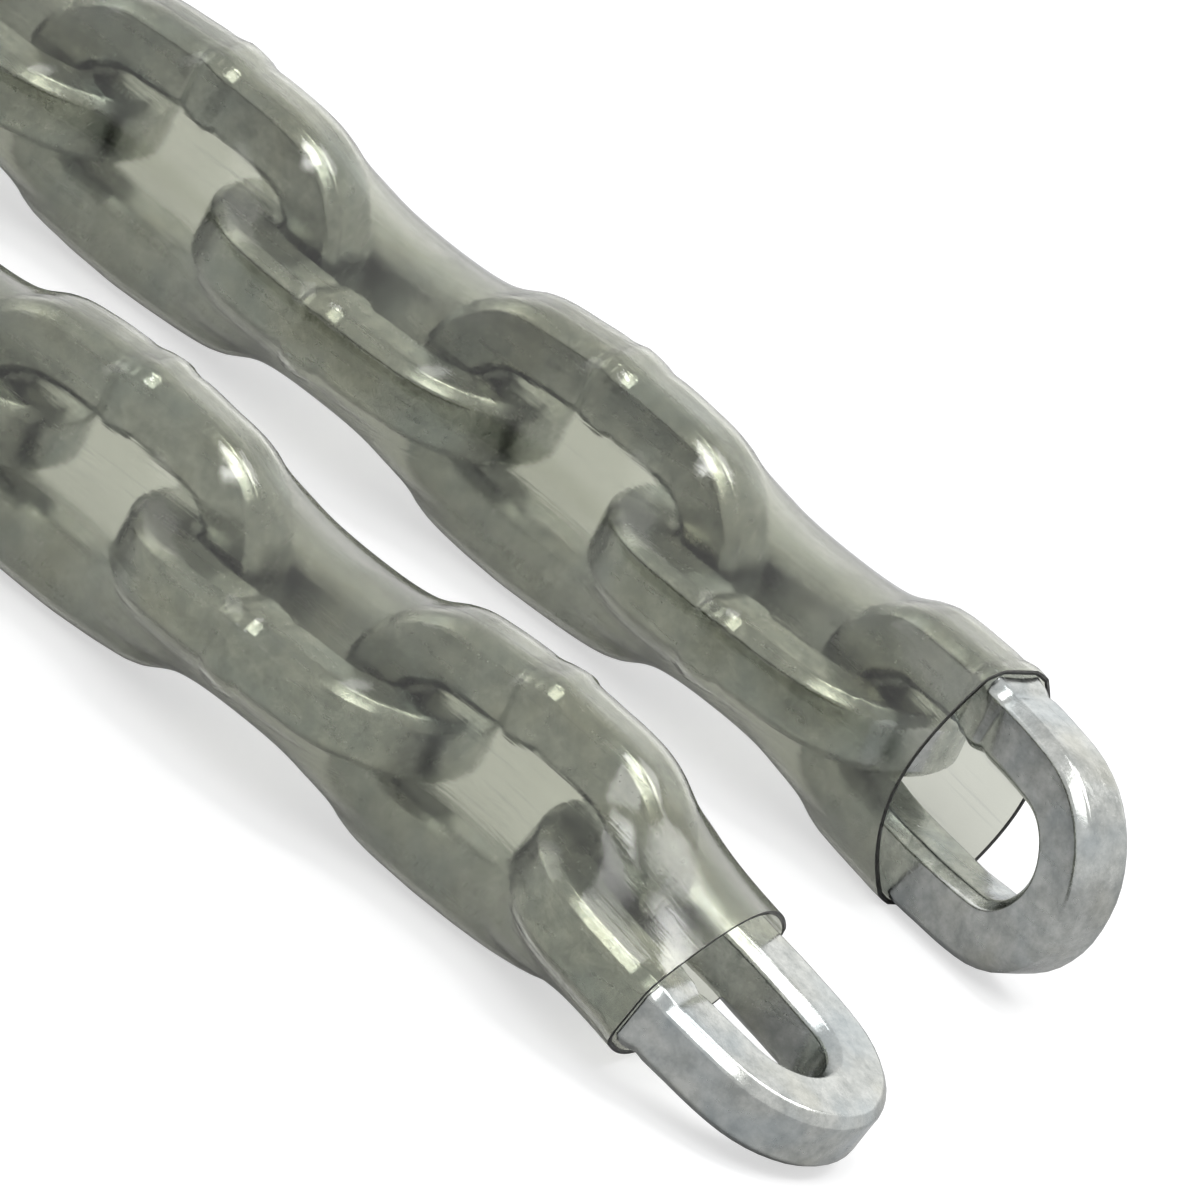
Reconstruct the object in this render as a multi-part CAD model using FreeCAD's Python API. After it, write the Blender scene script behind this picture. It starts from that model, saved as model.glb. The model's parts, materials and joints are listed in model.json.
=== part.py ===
"""Security chain of square welded steel links in a clear sleeve, lying folded on a flat surface.

The chain is one run of links, numbered from one end to the other. It is folded in the middle, so that
its two ends lie side by side and point along +X. Odd links stand on edge and even links lie flat.
The sleeve is one soft tube, parted here at the middle of every link.
"""
import FreeCAD, Part
import math
import os

from FreeCAD import Placement, Rotation, Vector

# Links, in millimetres and degrees
bar = 10.0  # side of the square bar
eye_length = 41.5  # clear opening of a link, along the chain
eye_width = 16.6  # clear opening of a link, across it, at its middle
side_bow = 6.0  # angle that half of each long side bows through
edge_bevel = 1.5  # bevel along the bar's four edges
crown_facets = 10  # flats round each crown
side_facets = 2  # flats along each long side
weld_length = 5.0  # weld bead, along the bar
weld_proud = 0.4  # how far the bead stands out all round
seat_gap = 0.3  # least room that a bar has to turn in its neighbour's crown

# Sleeve, in halves of its width and height
sleeve_wall = 0.7
sleeve_gap = 0.3  # room between the steel and the sleeve, at its tightest
sleeve_split = 0.3  # parting between two pieces of the sleeve
sleeve_hollow = 11.2  # short side at the middle of a link, where the sleeve sinks in
sleeve_rise = 1.6  # growth of that side over the first quarter of the way to the next link
sleeve_band = 5.6  # flat that bears on the bar's side
sleeve_lid = 9.0  # flat over the eye of a link
sleeve_bend_room = 0.045  # more room at a crossing, for each degree that the chain turns there

# The fold: the turn at each crossing from the middle link outwards, in degrees. Each arm turns towards the
# other arm, and away from it where the angle is negative.
first_arm_turns = (29.7, 29.7, 29.7, 29.7, -14.4, -14.4, 0.0, 0.0, 0.0, 0.0, 10.0)
second_arm_turns = (24.6, 24.6, 24.6, 22.5, 22.5, -9.6, -9.6, -9.6, 0.0, 0.0, 0.0, 10.0)
first_end_droop = 1.8  # how far the last link of each arm tips down
second_end_droop = 14.4

# Worked out from the sizes above
middle_link = len(first_arm_turns) + 1
half_bar = bar / 2
free_from = weld_length / 2  # from an end link's middle to where its flats lie free of the sleeve
bow = math.radians(side_bow)
crown_reach = (eye_length + bar) / 2  # from a link's centre to the middle of the bar at its crown
side_reach = (eye_width + bar) / 2  # from a link's centre to the middle of the bar at its side
crown_radius = (side_reach - crown_reach * math.tan(bow / 2)) / (1 - math.tan(bow / 2))
crown_centre = crown_reach - crown_radius
side_radius = crown_radius + crown_centre / math.sin(bow)
side_centre = side_radius - side_reach

# A bar turns inside its neighbour's crown, which is hollow one way and curves back the other way
crown_inside = crown_radius - half_bar
bar_flat = half_bar - edge_bevel
facet_inside = crown_inside * math.cos((math.pi / 2 - bow) / crown_facets)
crown_sag = crown_inside - math.sqrt(crown_inside ** 2 - bar_flat ** 2)
seat_offset = facet_inside - math.hypot(half_bar, bar_flat) - crown_sag - seat_gap
bar_to_bar = crown_radius - seat_offset  # between the two bars of a crossing
centre_to_bar = crown_reach - bar_to_bar  # from a link's centre to its neighbour's bar
pitch = 2 * centre_to_bar + bar_to_bar

sleeve_cover = sleeve_gap + sleeve_wall
sleeve_long = side_reach + half_bar + weld_proud + sleeve_cover
sleeve_quarter = pitch / 4
sleeve_corner = math.tan(math.pi / 8)  # how fast a flat shrinks as the sleeve is inset
centre_height = sleeve_long


class LinkPlace:
    """Where a link lies: its centre, and its directions along the chain, across the link and through it."""

    def __init__(self, centre, along, across):
        self.centre = centre
        self.along = along
        self.across = across
        self.through = along.cross(across)

    def at(self, distance):
        """The point this far from the centre, away from the middle link."""
        return self.centre + self.along * distance

    def placement(self):
        """The placement that lays a link modelled along X, with Z through it, in this place."""
        return Placement(self.centre, Rotation(self.along, self.across, self.through, "ZXY"))


def downward(axis, heading):
    """The sign of a turn about this axis that tips this heading down."""
    return -math.copysign(1, axis.cross(heading).z)


class Crossing:
    """Two links through each other. The inner link's bar is the pin that the outer link swings on."""

    def __init__(self, inner, turn, droop):
        flat = abs(inner.through.z) > abs(inner.across.z)
        outer_bar = inner.at(centre_to_bar)
        if flat:
            first = Rotation(inner.through, math.copysign(turn, turn * inner.through.z))
        else:
            first = Rotation(inner.through, droop * downward(inner.through, inner.along))
        heading = first.multVec(inner.along)
        self.axis = first.multVec(inner.across) * -1
        self.pin = outer_bar + heading * bar_to_bar
        if flat:
            second = Rotation(self.axis, droop * downward(self.axis, heading))
        else:
            second = Rotation(self.axis, math.copysign(turn, turn * self.axis.z))
        along = second.multVec(heading)
        self.inner = inner
        self.outer = LinkPlace(self.pin + along * centre_to_bar, along, second.multVec(inner.through))


def arm(start, turns, droop, side):
    """The crossings from the middle link out to one end of the chain."""
    crossings = []
    place = start
    for number, turn in enumerate(turns, 1):
        tip = droop if number == len(turns) else 0.0
        crossings.append(Crossing(place, side * turn, tip))
        place = crossings[-1].outer
    return crossings


def arc_points(centre_x, centre_y, radius, start, end, count):
    """Points along an arc, from its start up to but without its end. Angles are from +X."""
    angles = [start + (end - start) * step / count for step in range(count)]
    return [
        Vector(centre_x + radius * math.cos(angle), centre_y + radius * math.sin(angle), 0)
        for angle in angles
    ]


def oval(offset):
    """The outline of a link's two crowns and two sides, this far outside the middle of its bar."""
    crown = crown_radius + offset
    side = side_radius + offset
    quarter = math.pi / 2
    points = arc_points(crown_centre, 0, crown, bow - quarter, quarter - bow, crown_facets)
    points += arc_points(0, -side_centre, side, quarter - bow, quarter + bow, side_facets)
    points += [point * -1 for point in points]
    return Part.Face(Part.makePolygon(points + points[:1]))


def weld_bead(side):
    """The bead round the bar at the middle of one long side."""
    width = bar + 2 * weld_proud
    bead = Part.makeBox(weld_length, width, width)
    bead.translate(Vector(-weld_length / 2, side * side_reach - width / 2, -width / 2))
    long_edges = [edge for edge in bead.Edges if abs(edge.tangentAt(0).x) > 0.5]
    return bead.makeChamfer(edge_bevel, long_edges)


def link_solid(weld_side):
    """One link, lying flat about the origin, with its crowns on X."""
    ring = oval(half_bar).cut(oval(-half_bar)).extrude(Vector(0, 0, bar)).Solids[0]
    ring.translate(Vector(0, 0, -half_bar))
    level = [edge for edge in ring.Edges if abs(edge.tangentAt(0).z) < 0.5]
    return ring.makeChamfer(edge_bevel, level).fuse(weld_bead(weld_side)).removeSplitter()


def with_free_end(link):
    """The link with its faces parted past its middle, so that the free end's flats are faces of their own."""
    half = Part.makeBox(eye_length, 2 * eye_length, 2 * bar, Vector(free_from, -eye_length, -bar))
    return link.common(half).fuse(link.cut(half))


class Flats:
    """Two opposite flats of a section: how far they lie from their centre, and half their width."""

    def __init__(self, centre, direction, reach, half_width):
        self.centre = centre
        self.direction = direction
        self.reach = reach
        self.half_width = half_width

    def corner(self, other, end, edge):
        """One corner of the flat at this end, on this edge, which points the way of the other flats."""
        outward = self.direction * (end * self.reach)
        return self.centre + outward + other.direction * (edge * self.half_width)


def eight_corners(wide, tall):
    """The corners, in turn, of a section with two pairs of flats."""
    quarters = [(1, 1), (-1, 1), (-1, -1), (1, -1)]
    corners = []
    for across, upward in quarters:
        pair = [wide.corner(tall, across, upward), tall.corner(wide, upward, across)]
        corners += pair if across == upward else pair[::-1]
    return corners


def link_station(centre, across, through, rise, inset):
    """The sleeve's section where it goes round one link only."""
    wide = Flats(centre, across, sleeve_long - inset, sleeve_band - inset * sleeve_corner)
    half = sleeve_hollow + rise - inset
    tall = Flats(centre, through, half, sleeve_lid - inset * sleeve_corner)
    return wide, tall


def crossing_station(crossing, inset):
    """The sleeve's section halfway through a crossing, where it goes round the crowns of two links."""
    inner, outer = crossing.inner, crossing.outer
    crowns = [inner.at(crown_centre), outer.at(-crown_centre)]
    middle = (crowns[0] + crowns[1]) * 0.5
    heading = (inner.along + outer.along).normalize()
    turn = math.degrees(inner.along.getAngle(outer.along))
    reach = crown_radius + half_bar + sleeve_cover - inset
    flats = []
    for crown, across in zip(crowns, (inner.across, outer.across)):
        depth = (middle - crown).dot(heading)
        half = math.sqrt(reach ** 2 - depth ** 2) + sleeve_bend_room * turn
        direction = (across - heading * across.dot(heading)).normalize()
        band = sleeve_band - inset * sleeve_corner
        flats.append(Flats(crown + heading * depth, direction, half, band))
    return flats


def sleeve_stations(crossing, inset):
    """The sleeve's sections from mid link to mid link, this far inside its outside."""
    inner, outer = crossing.inner, crossing.outer
    sections = [
        link_station(inner.at(sleeve_split / 2), inner.across, inner.through, 0, inset),
        link_station(inner.at(sleeve_quarter), inner.across, inner.through, sleeve_rise, inset),
        crossing_station(crossing, inset),
    ]
    for distance, rise in ((sleeve_quarter, sleeve_rise), (sleeve_split / 2, 0)):
        wide, tall = link_station(outer.at(-distance), outer.across, outer.through * -1, rise, inset)
        sections.append((tall, wide))
    return [eight_corners(*section) for section in sections]


def panel(first, second, third, fourth):
    """Two flat triangles between four corners."""
    corners = [[first, second, third], [first, third, fourth]]
    return [Part.Face(Part.makePolygon(three + three[:1])) for three in corners]


def sleeve_piece(crossing):
    """One piece of the sleeve's tube, from one mid link to the next."""
    outside = sleeve_stations(crossing, 0)
    inside = sleeve_stations(crossing, sleeve_wall)
    count = len(outside[0])
    faces = []
    for corner in range(count):
        after = (corner + 1) % count
        for skin in (outside, inside):
            for near, far in zip(skin, skin[1:]):
                faces += panel(near[corner], near[after], far[after], far[corner])
        for end in (0, -1):
            faces += panel(outside[end][corner], outside[end][after],
                           inside[end][after], inside[end][corner])
    solid = Part.Solid(Part.Shell(faces))
    return solid if solid.Volume > 0 else solid.reversed()


def chain_layout():
    """The middle link's place, and every crossing of both arms from there outwards."""
    centre = Vector(0, 0, centre_height)
    middle = LinkPlace(centre, Vector(0, 1, 0), Vector(-1, 0, 0))
    other_way = LinkPlace(centre, Vector(0, -1, 0), Vector(-1, 0, 0))
    first = arm(middle, first_arm_turns, first_end_droop, -1)
    second = arm(other_way, second_arm_turns, second_end_droop, 1)
    return middle, first, second


def weld_side_of(place):
    """The long side that carries the weld: the upper one, or the one on the -Y side of a flat link."""
    standing = abs(place.across.z) > abs(place.through.z)
    upper = place.across.z if standing else -place.across.y
    return 1 if upper > 0 else -1


def laid_link(links, place):
    """A copy of the link with its weld on the right side, in its place."""
    link = links[weld_side_of(place)].copy()
    link.Placement = place.placement()
    return link


def named_pieces():
    """Every link and sleeve piece by its name, in the layout's own place."""
    links = {side: link_solid(side) for side in (-1, 1)}
    end_links = {side: with_free_end(link) for side, link in links.items()}
    middle, first, second = chain_layout()
    pieces = {f"link_{middle_link:02d}": laid_link(links, middle)}
    for step, crossings in ((-1, first), (1, second)):
        for count, crossing in enumerate(crossings, 1):
            number = middle_link + step * count
            shapes = end_links if count == len(crossings) else links
            pieces[f"link_{number:02d}"] = laid_link(shapes, crossing.outer)
            pieces[f"sleeve_{min(number, number - step):02d}"] = sleeve_piece(crossing)
    return pieces


def base_centre(pieces):
    """The middle of the bottom of the box that holds every piece."""
    box = Part.makeCompound(list(pieces.values())).BoundBox
    return Vector((box.XMin + box.XMax) / 2, (box.YMin + box.YMax) / 2, box.ZMin)


def main():
    """Write each piece to a file of its own, with the origin at the middle of the chain's base."""
    os.makedirs("parts", exist_ok=True)
    pieces = named_pieces()
    origin = base_centre(pieces)
    for name, piece in pieces.items():
        piece.translate(origin * -1)
        piece.exportStep(f"parts/{name}.step")
        print(name, "valid" if piece.isValid() else "not valid", round(piece.Volume, 1))


main()
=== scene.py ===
"""Security chain in a clear sleeve, lying folded on a pale floor.

The square-bar links are swept round their two crowns and two long sides, with a weld on one side. The
sleeve is a soft tube drawn over them: a grid of rings that is pulled tight against the links' outsides.
"""
import json
import logging
import math
from dataclasses import dataclass, field
from enum import Enum

import bpy
import numpy as np
from mathutils import Matrix, Vector, noise
from mathutils.bvhtree import BVHTree

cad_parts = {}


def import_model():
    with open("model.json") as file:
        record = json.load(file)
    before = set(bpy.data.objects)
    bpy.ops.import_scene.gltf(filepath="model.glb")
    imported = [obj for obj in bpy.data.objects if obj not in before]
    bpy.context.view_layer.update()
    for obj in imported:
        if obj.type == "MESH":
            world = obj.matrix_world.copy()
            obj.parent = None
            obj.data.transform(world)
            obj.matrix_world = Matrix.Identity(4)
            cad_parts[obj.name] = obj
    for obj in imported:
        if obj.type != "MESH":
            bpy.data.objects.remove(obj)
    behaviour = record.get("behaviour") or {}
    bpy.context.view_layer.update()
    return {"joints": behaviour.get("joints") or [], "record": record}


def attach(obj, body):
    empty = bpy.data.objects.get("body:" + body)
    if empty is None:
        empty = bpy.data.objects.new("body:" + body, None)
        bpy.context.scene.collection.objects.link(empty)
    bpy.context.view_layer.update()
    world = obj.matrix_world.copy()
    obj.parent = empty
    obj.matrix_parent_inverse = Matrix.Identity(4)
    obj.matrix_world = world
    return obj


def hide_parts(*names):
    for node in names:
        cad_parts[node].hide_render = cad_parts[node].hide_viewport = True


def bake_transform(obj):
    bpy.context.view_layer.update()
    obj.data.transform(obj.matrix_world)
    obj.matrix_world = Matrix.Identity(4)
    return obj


LOG = logging.getLogger("security_chain")
MM = 0.001


class Lie(Enum):
    """How a link lies on the surface."""

    ON_EDGE = "on edge"
    FLAT = "flat"


@dataclass(frozen=True)
class BarSizes:
    """Sizes of the square bar and of the link bent from it, in millimetres and degrees."""

    half_bar: float = 5.0
    bevel: float = 1.5
    bevel_round: float = 0.45
    eye_length: float = 41.5
    eye_width: float = 16.6
    side_bow: float = 6.0
    bar_to_bar: float = 12.337

    @property
    def bow(self) -> float:
        """The bow of half a side, in radians."""
        return math.radians(self.side_bow)

    @property
    def crown_reach(self) -> float:
        """From the link's centre to the middle of the bar at its crown."""
        return self.eye_length / 2 + self.half_bar

    @property
    def side_reach(self) -> float:
        """From the link's centre to the middle of the bar at its side."""
        return self.eye_width / 2 + self.half_bar

    @property
    def crown_radius(self) -> float:
        """Radius of the bar's middle line round a crown."""
        lean = math.tan(self.bow / 2)
        return (self.side_reach - self.crown_reach * lean) / (1 - lean)

    @property
    def crown_centre(self) -> float:
        """From the link's centre to the centre of a crown."""
        return self.crown_reach - self.crown_radius

    @property
    def side_radius(self) -> float:
        """Radius of the bar's middle line along a long side."""
        return self.crown_radius + self.crown_centre / math.sin(self.bow)

    @property
    def centre_to_bar(self) -> float:
        """From the link's centre to its neighbour's bar."""
        return self.crown_reach - self.bar_to_bar


@dataclass(frozen=True)
class LinkPlace:
    """Where one link lies, in millimetres. Its forward direction runs from link_01 towards link_24."""

    number: int
    centre: Vector
    forward: Vector
    across: Vector
    through: Vector

    @property
    def lie(self) -> Lie:
        """Whether the link stands on edge or lies flat."""
        return Lie.FLAT if abs(self.through.z) > abs(self.across.z) else Lie.ON_EDGE

    @property
    def weld_side(self) -> float:
        """The sign of the long side with the weld: the upper one, or the -Y one of a flat link."""
        upper = self.across.z if self.lie is Lie.ON_EDGE else -self.across.y
        return 1.0 if upper > 0 else -1.0

    def matrix(self) -> Matrix:
        """The matrix that takes a link modelled along X, with Z through it, to this place."""
        turn = Matrix((self.forward, self.across, self.through)).transposed().to_4x4()
        return Matrix.Translation(self.centre) @ turn

    def at(self, distance: float) -> Vector:
        """The point this far forward of the centre."""
        return self.centre + self.forward * distance


@dataclass
class ChainLayout:
    """Every link's place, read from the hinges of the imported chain."""

    bar: BarSizes
    joints: list
    mounts: list
    middle: int = 12
    places: dict = field(default_factory=dict)

    def _pin(self, number: int) -> Vector:
        """The pin that a link swings on, in millimetres.

        Args:
            number: The link's number.

        Returns:
            The point on its inner neighbour's bar.
        """
        joint = self._joint(number)
        return Vector(joint["pos_m"]) / MM

    def _joint(self, number: int) -> dict:
        """The hinge that carries a link."""
        return next(j for j in self.joints if j["name"] == f"swing_{number:02d}")

    def _end_point(self, number: int) -> Vector:
        """The middle of the bar at an end link's free crown.

        Args:
            number: The end link's number.

        Returns:
            The point in millimetres, taken from the flat face stated there.
        """
        name = "first_end_side" if number == 1 else "second_end_top"
        mount = next(m for m in self.mounts if m["name"] == name)
        outward = Vector(mount["axis"]).normalized()
        return Vector(mount["pos_m"]) / MM - outward * self.bar.half_bar

    def _axis(self, number: int) -> Vector:
        """The axis that a link swings about, which is also the direction through it.

        Args:
            number: The link's number.

        Returns:
            The unit axis, upright for the middle link, which has no hinge.
        """
        if number == self.middle:
            return Vector((0, 0, 1))
        return Vector(self._joint(number)["axis"]).normalized()

    def _neighbour_bar(self, number: int, outer: int) -> Vector:
        """Where the next link's bar passes through a link's eye.

        Args:
            number: The link's number.
            outer: The number of the link that hangs on it.

        Returns:
            The point on the link's own middle line, in millimetres.
        """
        pin = self._pin(outer)
        heading = self._axis(outer).cross(self._axis(number)).normalized()
        beyond = outer + (outer - number)
        further = self._pin(beyond) if beyond in range(1, 25) else self._end_point(outer)
        if heading.dot(further - pin) < 0:
            heading = -heading
        return pin - heading * self.bar.bar_to_bar

    def read(self) -> dict:
        """Works out each link's place from its own pin and the next one.

        Returns:
            The places by link number.
        """
        for number in range(1, 25):
            if number == self.middle:
                continue
            step = -1 if number < self.middle else 1
            pin = self._pin(number)
            last = number + step not in range(1, 25)
            tip = self._end_point(number) if last else self._neighbour_bar(number, number + step)
            outward = (tip - pin).normalized()
            self._keep(number, pin + outward * self.bar.centre_to_bar, outward * step)
        before = self._neighbour_bar(self.middle, self.middle - 1)
        after = self._neighbour_bar(self.middle, self.middle + 1)
        self._keep(self.middle, (before + after) / 2, (after - before).normalized())
        return self.places

    def _keep(self, number: int, centre: Vector, forward: Vector) -> None:
        """Notes a link's place.

        Args:
            number: The link's number.
            centre: Its centre, in millimetres.
            forward: The direction towards the next link in order.
        """
        axis = self._axis(number)
        through = (axis - forward * axis.dot(forward)).normalized()
        self.places[number] = LinkPlace(number, centre, forward, through.cross(forward), through)


class Board:
    """A material's node tree, with short ways to add nodes and join them."""

    def __init__(self, name: str) -> None:
        """Starts a material that holds one principled shader.

        Args:
            name: The material's name.
        """
        self.material = bpy.data.materials.new(name)
        self.material.use_nodes = True
        self.tree = self.material.node_tree
        self.shader = self.tree.nodes["Principled BSDF"]

    def add(self, kind: str, **values: object) -> bpy.types.Node:
        """Adds a node and sets its properties, or its inputs where the name is an input's.

        Args:
            kind: The node's type name.
            **values: Properties, or inputs with spaces written as underscores.

        Returns:
            The new node.
        """
        node = self.tree.nodes.new(kind)
        for key, value in values.items():
            label = key.replace("_", " ")
            if hasattr(node, key):
                setattr(node, key, value)
            else:
                node.inputs[label].default_value = value
        return node

    def join(self, source: bpy.types.NodeSocket, target: bpy.types.NodeSocket) -> None:
        """Joins an output to an input."""
        self.tree.links.new(source, target)

    def grain(self, vector: bpy.types.NodeSocket, scale: float, detail: float,
              rough: float) -> bpy.types.Node:
        """Adds a noise texture.

        Args:
            vector: The coordinates it reads.
            scale: Its scale, in cells per unit.
            detail: How many octaves it has.
            rough: How strong the finer octaves are.

        Returns:
            The texture node.
        """
        node = self.add("ShaderNodeTexNoise", Scale=scale, Detail=detail, Roughness=rough)
        self.join(vector, node.inputs["Vector"])
        return node

    def span(self, value: bpy.types.NodeSocket, low: float, high: float, out_low: float,
             out_high: float) -> bpy.types.NodeSocket:
        """Maps a range of a value to another range.

        Args:
            value: The value to map.
            low: Where the first range starts.
            high: Where the first range ends.
            out_low: What the start becomes.
            out_high: What the end becomes.

        Returns:
            The mapped output.
        """
        node = self.add("ShaderNodeMapRange")
        ends = {"From Min": low, "From Max": high, "To Min": out_low, "To Max": out_high}
        for name, number in ends.items():
            node.inputs[name].default_value = number
        self.join(value, node.inputs["Value"])
        return node.outputs["Result"]

    def blend(self, factor: bpy.types.NodeSocket, first: tuple, second: tuple) -> bpy.types.Node:
        """Adds a colour mix of two colours, either of which may be another output.

        Args:
            factor: How much of the second colour shows.
            first: A colour, or an output.
            second: A colour, or an output.

        Returns:
            The mix node.
        """
        node = self.tree.nodes.new("ShaderNodeMix")
        node.data_type = "RGBA"
        self.join(factor, node.inputs[0])
        for socket, colour in ((node.inputs[6], first), (node.inputs[7], second)):
            if isinstance(colour, tuple):
                socket.default_value = (*colour, 1.0)
            else:
                self.join(colour, socket)
        return node


@dataclass(frozen=True)
class ZincPlate:
    """Bright mottled zinc on hardened steel, with a fine grain and faint blue and straw tints."""

    dark: tuple = (0.34, 0.355, 0.340)
    light: tuple = (0.54, 0.55, 0.525)
    blue: tuple = (0.33, 0.38, 0.41)
    straw: tuple = (0.49, 0.475, 0.39)
    mottle_scale: float = 330.0
    grain_scale: float = 1900.0
    tint_scale: float = 90.0
    scuff_scale: tuple = (60.0, 900.0, 900.0)
    blue_share: float = 0.40
    straw_share: float = 0.30
    smoothest: float = 0.14
    dullest: float = 0.26
    scuff_blur: float = 0.16
    ripple_bump: float = 0.16
    grain_bump: float = 0.15
    scratch_bump: float = 0.05

    def material(self) -> bpy.types.Material:
        """Builds the finish.

        Returns:
            The material, shared by every link.
        """
        board = Board("zinc_plated_steel")
        place = board.add("ShaderNodeTexCoord").outputs["Object"]
        mottle = board.grain(place, self.mottle_scale, 7.0, 0.7)
        grain = board.grain(place, self.grain_scale, 3.0, 0.6)
        tint = board.grain(place, self.tint_scale, 2.0, 0.5)
        shade = board.span(mottle.outputs["Fac"], 0.36, 0.64, 0.0, 1.0)
        body = board.blend(shade, self.dark, self.light)
        blue_patches = board.span(tint.outputs["Fac"], 0.52, 0.70, 0.0, self.blue_share)
        blued = board.blend(blue_patches, body.outputs[2], self.blue)
        straw_patches = board.span(tint.outputs["Fac"], 0.46, 0.32, 0.0, self.straw_share)
        warm = board.blend(straw_patches, blued.outputs[2], self.straw)
        board.join(warm.outputs[2], board.shader.inputs["Base Color"])
        stretch = board.add("ShaderNodeMapping", Scale=self.scuff_scale)
        board.join(place, stretch.inputs["Vector"])
        scuffs = board.grain(stretch.outputs["Vector"], 1.0, 3.0, 0.6)
        smear = board.add("ShaderNodeMath", operation="ADD")
        board.join(board.span(grain.outputs["Fac"], 0.3, 0.7, self.smoothest, self.dullest), smear.inputs[0])
        board.join(board.span(scuffs.outputs["Fac"], 0.56, 0.76, 0.0, self.scuff_blur), smear.inputs[1])
        board.join(smear.outputs["Value"], board.shader.inputs["Roughness"])
        board.shader.inputs["Metallic"].default_value = 1.0
        ripple = board.add("ShaderNodeBump", Strength=self.ripple_bump, Distance=0.0003)
        board.join(mottle.outputs["Fac"], ripple.inputs["Height"])
        bump = board.add("ShaderNodeBump", Strength=self.grain_bump, Distance=0.0001)
        board.join(grain.outputs["Fac"], bump.inputs["Height"])
        board.join(ripple.outputs["Normal"], bump.inputs["Normal"])
        scratch = board.add("ShaderNodeBump", Strength=self.scratch_bump, Distance=0.0001)
        board.join(scuffs.outputs["Fac"], scratch.inputs["Height"])
        board.join(bump.outputs["Normal"], scratch.inputs["Normal"])
        board.join(scratch.outputs["Normal"], board.shader.inputs["Normal"])
        return board.material


@dataclass(frozen=True)
class ClearSleeve:
    """Soft clear plastic with a smoky grey-green tint and long fine scuffs."""

    tint: tuple = (0.655, 0.665, 0.595)
    haze: tuple = (0.57, 0.58, 0.53)
    refraction: float = 1.45
    clearness: float = 1.0
    streak_scale: tuple = (1300.0, 38.0, 1.0)
    patch_scale: float = 55.0
    streak_blur: float = 0.06
    streak_bump: float = 0.12

    def material(self) -> bpy.types.Material:
        """Builds the finish.

        Returns:
            The material of both skins.
        """
        board = Board("clear_sleeve")
        chart = board.add("ShaderNodeUVMap")
        stretch = board.add("ShaderNodeMapping", Scale=self.streak_scale)
        board.join(chart.outputs["UV"], stretch.inputs["Vector"])
        streaks = board.grain(stretch.outputs["Vector"], 1.0, 5.0, 0.62)
        place = board.add("ShaderNodeTexCoord").outputs["Object"]
        patches = board.grain(place, self.patch_scale, 3.0, 0.6)
        scuffed = board.span(streaks.outputs["Fac"], 0.56, 0.72, 0.0, 1.0)
        hazed = board.blend(scuffed, self.tint, self.haze)
        board.join(hazed.outputs[2], board.shader.inputs["Base Color"])
        smear = board.add("ShaderNodeMath", operation="MULTIPLY")
        board.join(board.span(streaks.outputs["Fac"], 0.56, 0.80, 0.0, self.streak_blur), smear.inputs[0])
        board.join(board.span(patches.outputs["Fac"], 0.35, 0.65, 0.6, 1.3), smear.inputs[1])
        board.join(smear.outputs["Value"], board.shader.inputs["Roughness"])
        board.shader.inputs["Transmission Weight"].default_value = self.clearness
        board.shader.inputs["IOR"].default_value = self.refraction
        bump = board.add("ShaderNodeBump", Strength=self.streak_bump, Distance=0.0003)
        board.join(streaks.outputs["Fac"], bump.inputs["Height"])
        board.join(bump.outputs["Normal"], board.shader.inputs["Normal"])
        return board.material


@dataclass(frozen=True)
class CutEdge:
    """The sleeve's cut rim, given a near-black colour as painted shade: the clear wall's rim looks dark
    because the light runs along inside the wall.
    """

    # Painted shade: the near-black colour stands in for the light lost along inside the clear wall, and the
    # paler shade varies it at random.
    colour: tuple = (0.045, 0.046, 0.042)
    paler_shade: tuple = (0.13, 0.13, 0.12)

    def material(self) -> bpy.types.Material:
        """Builds the finish.

        Returns:
            The material of the rim's faces, with the rim's darkness painted into its colour.
        """
        board = Board("sleeve_cut_edge_painted_shade")
        place = board.add("ShaderNodeTexCoord").outputs["Object"]
        grain = board.grain(place, 900.0, 4.0, 0.6)
        # Mixes the painted shade with its paler version by a random grain.
        mix = board.blend(board.span(grain.outputs["Fac"], 0.4, 0.7, 0.0, 1.0), self.colour, self.paler_shade)
        board.join(mix.outputs[2], board.shader.inputs["Base Color"])
        board.join(board.span(grain.outputs["Fac"], 0.3, 0.7, 0.3, 0.6), board.shader.inputs["Roughness"])
        bump = board.add("ShaderNodeBump", Strength=0.3, Distance=0.0002)
        board.join(grain.outputs["Fac"], bump.inputs["Height"])
        board.join(bump.outputs["Normal"], board.shader.inputs["Normal"])
        return board.material


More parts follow.
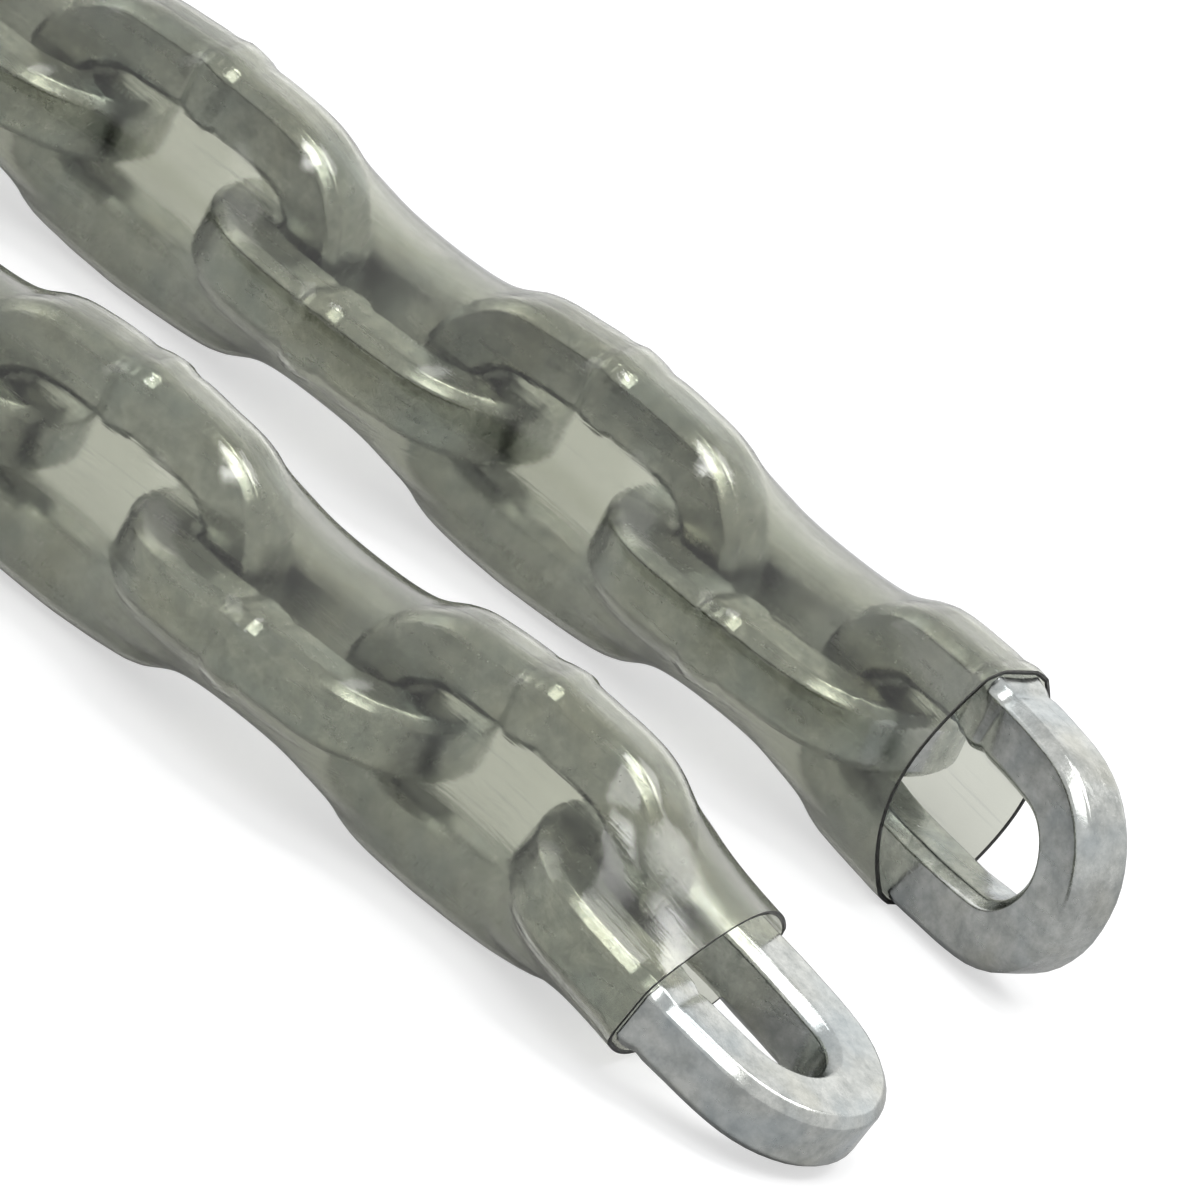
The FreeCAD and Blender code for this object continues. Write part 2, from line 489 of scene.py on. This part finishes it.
@dataclass
class WeldedLink:
    """One link: a bevelled square bar swept round an oblong, closed by a weld on one side."""

    bar: BarSizes
    place: LinkPlace
    body: str
    crown_steps: int = 22
    side_steps: int = 44
    dent: float = 0.13
    dent_scale: float = 0.16
    bead_height: float = 0.42
    bead_half: float = 2.6
    bead_grain: float = 1.1
    bead_roughness: float = 0.22
    groove_depth: float = 0.16
    groove_gap: float = 0.9
    groove_width: float = 0.7
    step_height: float = 0.22
    step_width: float = 0.8
    weld_reach: float = 9.0
    corner_pull: float = 0.22
    flat_shares: tuple = (0.3, 0.5, 0.7)
    side_crowding: float = 1.6
    seed_step: float = 37.1

    def _profile(self) -> list:
        """The bar's section: a square with slightly rounded bevels.

        Returns:
            Points as (outward, through), going round.
        """
        half, flat = self.bar.half_bar, self.bar.half_bar - self.bar.bevel
        corners = [(half, -flat), (half, flat), (flat, half), (-flat, half),
                   (-half, flat), (-half, -flat), (-flat, -half), (flat, -half)]
        points = []
        for index, corner in enumerate(corners):
            here = Vector(corner)
            back = (Vector(corners[index - 1]) - here).normalized() * self.bar.bevel_round
            ahead = (Vector(corners[(index + 1) % 8]) - here).normalized() * self.bar.bevel_round
            points += [here + back, here + (back + ahead) * self.corner_pull, here + ahead]
            if index % 2 == 0:
                other = Vector(corners[(index + 1) % 8])
                points += [here.lerp(other, share) for share in self.flat_shares]
        return points

    def _path(self) -> list:
        """The bar's middle line and the outward direction along it.

        Returns:
            Tuples of (x, y, outward x, outward y), going round the link.
        """
        bar = self.bar
        quarter, bow = math.pi / 2, bar.bow
        drop = bar.side_radius - bar.side_reach
        stations = []
        for sign in (1, -1):
            for step in range(self.crown_steps):
                angle = bow - quarter + 2 * (quarter - bow) * step / self.crown_steps
                x, y = math.cos(angle), math.sin(angle)
                stations.append((sign * (bar.crown_centre + bar.crown_radius * x),
                                 sign * bar.crown_radius * y, sign * x, sign * y))
            for step in range(self.side_steps):
                share = 2 * step / self.side_steps - 1
                angle = quarter + bow * math.copysign(abs(share) ** self.side_crowding, share)
                x, y = math.cos(angle), math.sin(angle)
                stations.append((sign * bar.side_radius * x,
                                 sign * (bar.side_radius * y - drop), sign * x, sign * y))
        return stations

    def _weld_swell(self, x: float, y: float) -> tuple:
        """How the weld swells and shifts the bar's surface.

        Args:
            x: Distance along the link from its middle.
            y: Distance across it, which says which side this is.

        Returns:
            The swelling and the sideways step, in millimetres.
        """
        if y * self.place.weld_side < 0 or abs(x) > self.weld_reach:
            return 0.0, 0.0
        bead = self.bead_height * math.exp(-((x / self.bead_half) ** 4))
        past_groove = (abs(x) - self.bead_half - self.groove_gap) / self.groove_width
        groove = self.groove_depth * math.exp(-(past_groove ** 2))
        fade = max(0.0, 1 - abs(x) / self.weld_reach)
        step = self.step_height * math.tanh(x / self.step_width) * fade
        return bead - groove, step

    def _point(self, station: tuple, across: Vector) -> Vector:
        """One point of the skin, dented a little as forged bar is.

        Args:
            station: The middle line's point and outward direction.
            across: The section's point.

        Returns:
            The point in the link's own axes.
        """
        x, y, out_x, out_y = station
        swell, step = self._weld_swell(x, y)
        grow = 1 + swell / self.bar.half_bar
        outward, through = across.x * grow + step, across.y * grow
        point = Vector((x + out_x * outward, y + out_y * outward, through))
        seed = Vector((self.place.number * self.seed_step, 0, 0))
        shift = noise.noise(point * self.dent_scale + seed) * self.dent
        if swell > 0.05:
            shift += noise.noise(point * self.bead_grain + seed) * self.bead_roughness * swell
        away = Vector((out_x * across.x, out_y * across.x, across.y)).normalized()
        return point + away * shift

    def build(self, steel: bpy.types.Material) -> bpy.types.Object:
        """Builds the link in its place, in place of its plain node.

        Args:
            steel: The links' finish.

        Returns:
            The finished object.
        """
        profile, path = self._profile(), self._path()
        lay = Matrix.Scale(MM, 4) @ self.place.matrix()
        verts = [lay @ self._point(station, across) for station in path for across in profile]
        around, along = len(profile), len(path)
        faces = []
        for row in range(along):
            here, ahead = row * around, (row + 1) % along * around
            for col in range(around):
                after = (col + 1) % around
                faces.append((here + col, ahead + col, ahead + after, here + after))
        name = f"steel_link_{self.place.number:02d}"
        mesh = bpy.data.meshes.new(name)
        mesh.from_pydata(verts, [], faces)
        mesh.polygons.foreach_set("use_smooth", [True] * len(faces))
        mesh.materials.append(steel)
        obj = bpy.data.objects.new(name, mesh)
        bpy.context.scene.collection.objects.link(obj)
        even = obj.modifiers.new("even_flats", "WEIGHTED_NORMAL")
        even.keep_sharp = True
        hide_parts(f"link_{self.place.number:02d}")
        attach(obj, self.body)
        return obj


@dataclass
class SoftSleeve:
    """The sleeve: rings of points drawn tight over the links, from one open mouth to the other."""

    bar: BarSizes
    places: dict
    rings_per_span: int = 28
    points_round: int = 80
    wall: float = 0.75
    room: float = 0.30
    core_long: float = 17.6
    core_hollow: float = 10.3
    core_crossing: float = 15.6
    core_power: float = 2.3
    widest: float = 45.0
    start_radius: float = 20.5
    passes: int = 360
    pull_share: float = 0.9
    mouth_pull: float = 0.2
    beside_ease: float = 0.35
    chart_width: float = 0.11
    blend_reach: float = 11.0
    centres: np.ndarray | None = None
    rays: np.ndarray | None = None
    tangents: np.ndarray | None = None

    def _crossing(self, number: int) -> Vector:
        """The middle of the crossing between a link and the next."""
        here, after = self.places[number], self.places[number + 1]
        return (here.at(self.bar.crown_centre) + after.at(-self.bar.crown_centre)) / 2

    def _spine(self) -> None:
        """Lays the rings' centres and directions along the chain, from link_01's middle to link_24's."""
        centres, tangents = [], []
        half = self.rings_per_span // 2
        for number in range(1, 24):
            here, after = self.places[number], self.places[number + 1]
            cross = self._crossing(number)
            lean = (here.forward + after.forward).normalized()
            legs = ((here.centre, here.forward, cross, lean), (cross, lean, after.centre, after.forward))
            for start, way_in, end, way_out in legs:
                reach = (end - start).length
                for step in range(half):
                    t = step / half
                    a, b = 2 * t ** 3 - 3 * t ** 2 + 1, t ** 3 - 2 * t ** 2 + t
                    c, d = -2 * t ** 3 + 3 * t ** 2, t ** 3 - t ** 2
                    centres.append(start * a + way_in * (b * reach) + end * c + way_out * (d * reach))
                    tangents.append(way_in.lerp(way_out, t).normalized())
        last = self.places[24]
        centres.append(last.centre.copy())
        tangents.append(last.forward.copy())
        self.centres = np.array(centres)
        self.tangents = np.array(tangents)
        side = np.cross(self.tangents, (0.0, 0.0, 1.0))
        side /= np.linalg.norm(side, axis=1, keepdims=True)
        upward = np.cross(side, self.tangents)
        angle = np.arange(self.points_round) * 2 * math.pi / self.points_round
        self.rays = (np.cos(angle)[None, :, None] * side[:, None, :]
                     + np.sin(angle)[None, :, None] * upward[:, None, :])

    def _link_radius(self, trees: dict) -> np.ndarray:
        """How far the links reach along every ray.

        Args:
            trees: A search tree of each link's skin, by link number.

        Returns:
            The reach in millimetres, zero where a ray meets no link.
        """
        reach = np.zeros((len(self.centres), self.points_round))
        far = self.widest
        for row, centre in enumerate(self.centres):
            span = min(row // self.rings_per_span + 1, 23)
            near = [trees[n] for n in (span, span + 1)]
            for col in range(self.points_round):
                ray = Vector(self.rays[row, col])
                start = Vector(centre) + ray * far
                for tree in near:
                    hit = tree.ray_cast(start, -ray, far)
                    if hit[0] is not None:
                        reach[row, col] = max(reach[row, col], far - hit[3])
        return reach

    def _core_radius(self) -> np.ndarray:
        """The radius of the soft core: a tube that the stiffness of the plastic keeps open.

        Returns:
            The radius of every point, an ellipse that turns from link to link.
        """
        rows = np.arange(len(self.centres))
        phase = rows / self.rings_per_span
        to_mid = np.abs(phase - np.round(phase)) * 2
        number = np.round(phase).astype(int) + 1
        flat = np.array([self.places[n].lie is Lie.FLAT for n in number])
        hollow = self.core_hollow + (self.core_crossing - self.core_hollow) * to_mid
        wide = self.core_long + (self.core_crossing - self.core_long) * to_mid ** 2
        half_side = np.where(flat, wide, hollow)[:, None]
        half_up = np.where(flat, hollow, wide)[:, None]
        angle = (np.arange(self.points_round) * 2 * math.pi / self.points_round)[None, :]
        power = self.core_power
        total = np.abs(np.cos(angle) / half_side) ** power + np.abs(np.sin(angle) / half_up) ** power
        return total ** (-1 / power)

    def _draw_tight(self, floor: np.ndarray) -> np.ndarray:
        """Pulls the rings tight over a floor that they can't sink below.

        Args:
            floor: The smallest radius of every point.

        Returns:
            The radius of every point once the tube is drawn tight.
        """
        radius = np.full_like(floor, self.start_radius)
        centres = self.centres[:, None, :]
        for _ in range(self.passes):
            points = centres + self.rays * radius[:, :, None]
            hoop = (np.roll(points, 1, axis=1) + np.roll(points, -1, axis=1)) / 2 - points
            length = np.zeros_like(points)
            length[1:-1] = (points[2:] + points[:-2]) / 2 - points[1:-1]
            length[0] = (points[1] - points[0]) * self.mouth_pull
            length[-1] = (points[-2] - points[-1]) * self.mouth_pull
            pull = ((hoop + length) * self.rays).sum(axis=2) / 2
            radius = np.maximum(radius + pull * self.pull_share, floor)
        return radius

    def shape(self, links: dict) -> np.ndarray:
        """Works out the sleeve's outside.

        Args:
            links: Each link's finished object, by number.

        Returns:
            The radius of every point, in millimetres.
        """
        self._spine()
        trees = {}
        for number, obj in links.items():
            verts = [v.co / MM for v in obj.data.vertices]
            trees[number] = BVHTree.FromPolygons(verts, [tuple(p.vertices) for p in obj.data.polygons])
        steel = self._link_radius(trees)
        cover = np.where(steel > 0, steel + self.room + self.wall, 0.0)
        beside = np.maximum(np.roll(cover, 1, axis=1), np.roll(cover, -1, axis=1))
        wide = np.maximum(cover, beside - self.beside_ease)
        floor = np.maximum(wide, self._core_radius())
        return self._draw_tight(floor)

    def _normals(self, points: np.ndarray) -> np.ndarray:
        """Smooth normals of the whole tube, so that its pieces meet without a seam.

        Args:
            points: Every point of a skin.

        Returns:
            Outward unit normals.
        """
        along = np.gradient(points, axis=0)
        around = np.roll(points, -1, axis=1) - np.roll(points, 1, axis=1)
        normal = np.cross(around, along)
        normal /= np.linalg.norm(normal, axis=2, keepdims=True)
        return normal * np.sign((normal * self.rays).sum(axis=2, keepdims=True))

    def build(self, links: dict, plastic: bpy.types.Material, rim: bpy.types.Material,
              body_of: dict) -> list:
        """Builds the sleeve's pieces, each in place of its plain node.

        Args:
            links: Each link's finished object, by number.
            plastic: The finish of both skins.
            rim: The finish of the cut edge.
            body_of: Not used.

        Returns:
            The finished objects.
        """
        radius = self.shape(links)
        outer = self.centres[:, None, :] + self.rays * radius[:, :, None]
        normal = self._normals(outer)
        inner = outer - normal * self.wall
        runs = np.concatenate([[0.0], np.cumsum(np.linalg.norm(np.diff(self.centres, axis=0), axis=1))])
        made = []
        for number in range(1, 24):
            rows = slice((number - 1) * self.rings_per_span, number * self.rings_per_span + 1)
            made.append(self._piece(number, outer[rows], inner[rows], normal[rows], runs[rows],
                                    plastic, rim))
        return made

    def _piece(self, number: int, outer: np.ndarray, inner: np.ndarray, normal: np.ndarray,
               runs: np.ndarray, plastic: bpy.types.Material, rim: bpy.types.Material) -> bpy.types.Object:
        """Builds one piece of the sleeve, from one mid link to the next.

        Args:
            number: The number of the link that it starts on.
            outer: The outer skin's points.
            inner: The inner skin's points.
            normal: The outer skin's normals.
            runs: How far along the chain each ring is.
            plastic: The finish of both skins.
            rim: The finish of the cut edge.

        Returns:
            The finished object.
        """
        rows, cols = outer.shape[:2]
        count = rows * cols
        verts = np.concatenate([outer.reshape(-1, 3), inner.reshape(-1, 3)]) * MM
        normals = np.concatenate([normal.reshape(-1, 3), -normal.reshape(-1, 3)])
        faces, finish = [], []
        for row in range(rows - 1):
            for col in range(cols):
                after = (col + 1) % cols
                a, b = row * cols + col, row * cols + after
                c, d = a + cols, b + cols
                faces += [(a, c, d, b), (a + count, b + count, d + count, c + count)]
                finish += [0, 0]
        mouths = ([0] if number == 1 else []) + ([rows - 1] if number == 23 else [])
        for row in mouths:
            for col in range(cols):
                after = (col + 1) % cols
                a, b = row * cols + col, row * cols + after
                ring = (a, a + count, b + count, b)
                faces.append(ring[::-1] if row == 0 else ring)
                finish.append(1)
        name = f"soft_sleeve_{number:02d}"
        mesh = bpy.data.meshes.new(name)
        mesh.from_pydata(verts.tolist(), [], faces)
        mesh.materials.append(plastic)
        mesh.materials.append(rim)
        mesh.polygons.foreach_set("material_index", finish)
        mesh.polygons.foreach_set("use_smooth", [True] * len(faces))
        chart = mesh.uv_layers.new(name="UVMap")
        turn = np.tile(np.arange(cols) / cols * self.chart_width, rows * 2)
        run = np.tile(np.repeat(runs * MM, cols), 2)
        corners = np.array([loop.vertex_index for loop in mesh.loops])
        flat = np.stack([turn[corners], run[corners]], axis=1)
        chart.data.foreach_set("uv", flat.ravel())
        mesh.normals_split_custom_set_from_vertices(normals.tolist())
        obj = bpy.data.objects.new(name, mesh)
        bpy.context.scene.collection.objects.link(obj)
        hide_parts(f"sleeve_{number:02d}")
        cross = self._crossing(number) * MM
        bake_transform(obj)
        return obj


def background_strength(tree: bpy.types.NodeTree, strengths: dict) -> bpy.types.NodeSocket:
    """Tells the rays that show a white background from those that light the chain.

    Args:
        tree: The node tree of the surround or the floor.
        strengths: How white the background is to each kind of ray, by the light path's outputs.

    Returns:
        An output with the greatest strength of the kinds that the ray is of, or zero.
    """
    path = tree.nodes.new("ShaderNodeLightPath")
    found = None
    for name, strength in strengths.items():
        share = tree.nodes.new("ShaderNodeMath")
        share.operation = "MULTIPLY"
        share.inputs[1].default_value = strength
        tree.links.new(path.outputs[name], share.inputs[0])
        if found is None:
            found = share.outputs[0]
            continue
        either = tree.nodes.new("ShaderNodeMath")
        either.operation = "MAXIMUM"
        tree.links.new(found, either.inputs[0])
        tree.links.new(share.outputs[0], either.inputs[1])
        found = either.outputs[0]
    return found


@dataclass(frozen=True)
class PaleFloor:
    """The pale surface that the chain lies on, white where it shows through the sleeve or in the steel."""

    colour: tuple = (0.50, 0.50, 0.50)
    size: float = 14.0
    whitened: float = 0.60
    through_plastic: float = 0.40
    mirrored: float = 0.06
    speckle_scale: float = 60.0
    speckle_shade: float = 0.985

    def build(self) -> bpy.types.Object:
        """Builds the floor.

        Returns:
            The floor.
        """
        board = Board("pale_floor")
        place = board.add("ShaderNodeTexCoord").outputs["Object"]
        grain = board.grain(place, self.speckle_scale, 3.0, 0.5)
        near = tuple(value * self.speckle_shade for value in self.colour)
        mix = board.blend(grain.outputs["Fac"], near, self.colour)
        board.join(mix.outputs[2], board.shader.inputs["Base Color"])
        board.shader.inputs["Roughness"].default_value = 0.9
        board.shader.inputs["Specular IOR Level"].default_value = 0.0
        strengths = {"Is Camera Ray": self.whitened, "Is Glossy Ray": self.mirrored,
                     "Is Transmission Ray": self.through_plastic}
        shown = background_strength(board.tree, strengths)
        board.join(shown, board.shader.inputs["Emission Strength"])
        board.shader.inputs["Emission Color"].default_value = (1.0, 1.0, 1.0, 1.0)
        half = self.size / 2
        mesh = bpy.data.meshes.new("floor")
        corners = [(-half, -half, 0), (half, -half, 0), (half, half, 0), (-half, half, 0)]
        mesh.from_pydata(corners, [], [(0, 1, 2, 3)])
        mesh.materials.append(board.material)
        obj = bpy.data.objects.new("floor", mesh)
        bpy.context.scene.collection.objects.link(obj)
        return obj


@dataclass(frozen=True)
class SoftLamp:
    """A rectangular lamp that faces the chain, in metres and watts."""

    name: str
    place: tuple
    size: tuple
    power: float

    def build(self) -> bpy.types.Object:
        """Hangs the lamp.

        Returns:
            The lamp.
        """
        data = bpy.data.lights.new(self.name, "AREA")
        data.shape = "RECTANGLE"
        data.size, data.size_y = self.size
        data.energy = self.power
        obj = bpy.data.objects.new(self.name, data)
        obj.location = self.place
        obj.rotation_mode = "QUATERNION"
        obj.rotation_quaternion = Vector(self.place).to_track_quat("Z", "Y")
        bpy.context.scene.collection.objects.link(obj)
        return obj


@dataclass
class Studio:
    """Soft lamps, a white surround, the floor and the long-lens camera."""

    lamps: tuple = (
        SoftLamp("key_lamp", (0.6, -2.2, 3.2), (1.8, 1.8), 40.0),
        SoftLamp("fill_lamp", (-3.0, -1.2, 1.8), (2.0, 2.0), 13.0),
        SoftLamp("back_lamp", (-0.2, 2.9, 1.5), (3.2, 1.4), 7.0),
        SoftLamp("top_lamp", (0.9, 1.0, 2.6), (1.5, 1.2), 26.0),
        SoftLamp("overhead_lamp", (0.15, -0.25, 2.9), (0.9, 0.5), 15.0),
    )
    sky_colour: tuple = (0.97, 0.98, 1.0)
    sky_low: float = 0.10
    sky_high: float = 0.8
    sky_full_from: float = 0.9
    scale: float = 7.315
    distance: float = 6000.0
    right: tuple = (0.6987, 0.5965, 0.3949)
    upward: tuple = (-0.5409, 0.0793, 0.8373)
    anchor_pixel: tuple = (962.0, 789.0)
    frame_size: float = 1200.0
    sensor: float = 36.0

    def camera(self, anchor: Vector) -> bpy.types.Object:
        """Places the camera so that a point of the chain falls on its pixel.

        Args:
            anchor: The centre of link_01, in millimetres.

        Returns:
            The camera.
        """
        right = Vector(self.right).normalized()
        upward = Vector(self.upward)
        upward = (upward - right * upward.dot(right)).normalized()
        back = right.cross(upward)
        middle = self.frame_size / 2
        shift_x = (self.anchor_pixel[0] - middle) / self.scale
        shift_y = (middle - self.anchor_pixel[1]) / self.scale
        target = anchor - right * shift_x - upward * shift_y
        data = bpy.data.cameras.new("camera")
        data.sensor_width = self.sensor
        data.lens = self.sensor * self.distance * self.scale / self.frame_size
        data.clip_start, data.clip_end = 0.05, 60.0
        turn = Matrix((right, upward, back)).transposed().to_4x4()
        obj = bpy.data.objects.new("camera", data)
        obj.matrix_world = Matrix.Translation((target + back * self.distance) * MM) @ turn
        bpy.context.scene.collection.objects.link(obj)
        bpy.context.scene.camera = obj
        return obj

    def surround(self) -> None:
        """Makes the surround white for the camera and in reflections, and softer as a light."""
        world = bpy.data.worlds.new("surround")
        bpy.context.scene.world = world
        world.use_nodes = True
        tree = world.node_tree
        tree.nodes.clear()
        output = tree.nodes.new("ShaderNodeOutputWorld")
        shown, lit = (tree.nodes.new("ShaderNodeBackground") for _ in range(2))
        shown.inputs["Color"].default_value = (1.0, 1.0, 1.0, 1.0)
        shown.inputs["Strength"].default_value = 1.0
        lit.inputs["Color"].default_value = (*self.sky_colour, 1.0)
        split = tree.nodes.new("ShaderNodeSeparateXYZ")
        tree.links.new(tree.nodes.new("ShaderNodeTexCoord").outputs["Generated"], split.inputs[0])
        climb = tree.nodes.new("ShaderNodeMapRange")
        climb.inputs["From Max"].default_value = self.sky_full_from
        climb.inputs["To Min"].default_value = self.sky_low
        climb.inputs["To Max"].default_value = self.sky_high
        tree.links.new(split.outputs["Z"], climb.inputs["Value"])
        tree.links.new(climb.outputs["Result"], lit.inputs["Strength"])
        mix = tree.nodes.new("ShaderNodeMixShader")
        strengths = {"Is Camera Ray": 1.0, "Is Glossy Ray": 1.0, "Is Transmission Ray": 1.0}
        seen = background_strength(tree, strengths)
        tree.links.new(seen, mix.inputs[0])
        tree.links.new(lit.outputs[0], mix.inputs[1])
        tree.links.new(shown.outputs[0], mix.inputs[2])
        tree.links.new(mix.outputs[0], output.inputs["Surface"])

    def build(self, anchor: Vector) -> None:
        """Sets up the whole studio.

        Args:
            anchor: The centre of link_01, in millimetres.
        """
        PaleFloor().build()
        self.surround()
        for lamp in self.lamps:
            lamp.build()
        self.camera(anchor)
        bpy.context.scene.view_settings.view_transform = "Standard"


def main() -> None:
    """Builds the links, the sleeve and the studio in order, and reports each piece."""
    logging.basicConfig(level=logging.INFO, format="%(message)s")
    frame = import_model()
    record = frame["record"]
    bar = BarSizes()
    places = ChainLayout(bar, frame["joints"], record["mounts"]).read()
    groups = record["behaviour"]["bodies"]
    body_of = {n: next(b for b, nodes in groups.items() if f"link_{n:02d}" in nodes) for n in places}
    steel = ZincPlate().material()
    links = {}
    for number, place in sorted(places.items()):
        links[number] = WeldedLink(bar, place, body_of[number]).build(steel)
        LOG.info("%s, %s", links[number].name, place.lie.value)
    sleeve = SoftSleeve(bar, places)
    for piece in sleeve.build(links, ClearSleeve().material(), CutEdge().material(), body_of):
        LOG.info("%s, %d faces", piece.name, len(piece.data.polygons))
    Studio().build(places[1].centre)


if __name__ == "__main__":
    main()
